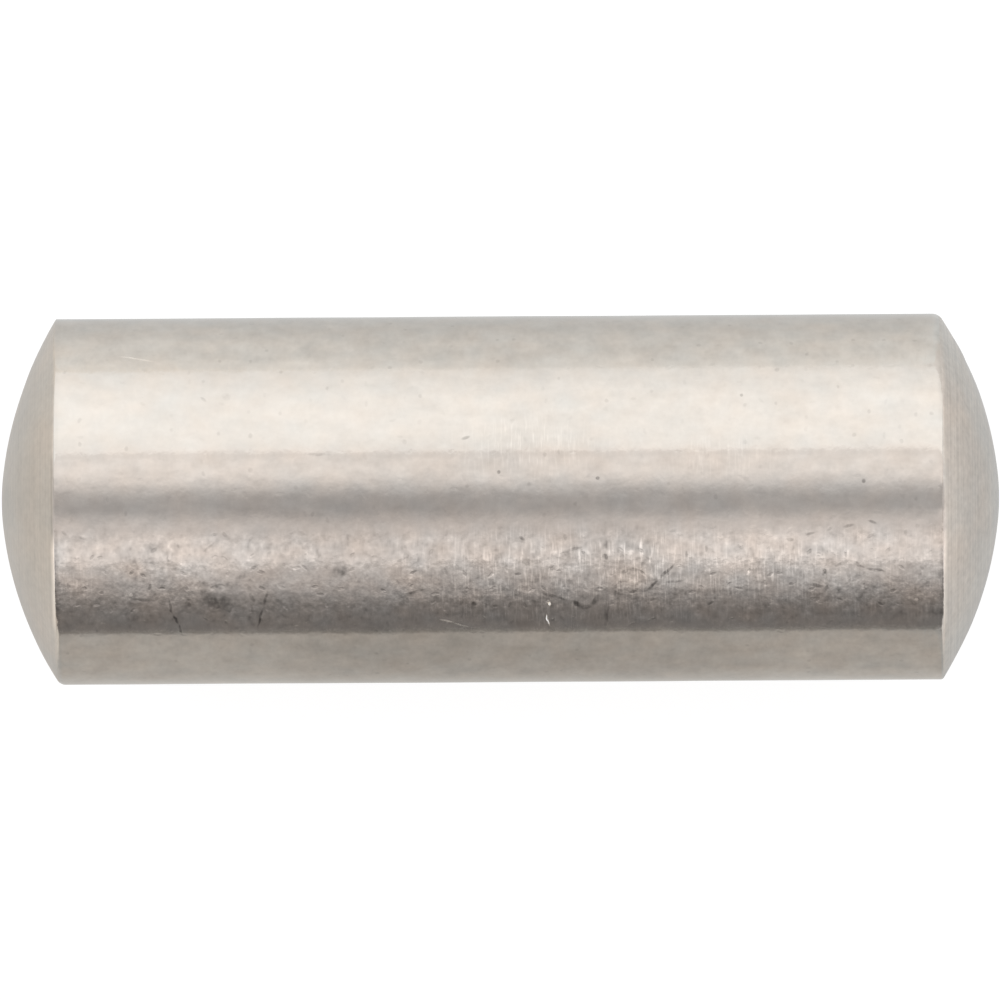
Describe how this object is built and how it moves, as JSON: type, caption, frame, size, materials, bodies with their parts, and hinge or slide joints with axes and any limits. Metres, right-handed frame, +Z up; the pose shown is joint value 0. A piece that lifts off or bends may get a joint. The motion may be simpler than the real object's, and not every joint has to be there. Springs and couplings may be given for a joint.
{
  "type": "dowel pin",
  "caption": "Short parallel dowel pin in stainless steel, ground along its shank and crowned at both ends, that presses into a reamed hole to hold two parts in line.",
  "frame": {"origin": "middle of the pin, on its axis", "axes": "+X along the pin's axis, +Z up with the pin lying down"},
  "size_m": [0.0136, 0.005, 0.005],
  "materials": {
    "steel": "ground, with fine grinding lines round the shank, turning rings on the crowns, small pits and a few scratches"
  },
  "bodies": {
    "root": {"dowel_pin": "steel"}
  },
  "joints": []
}
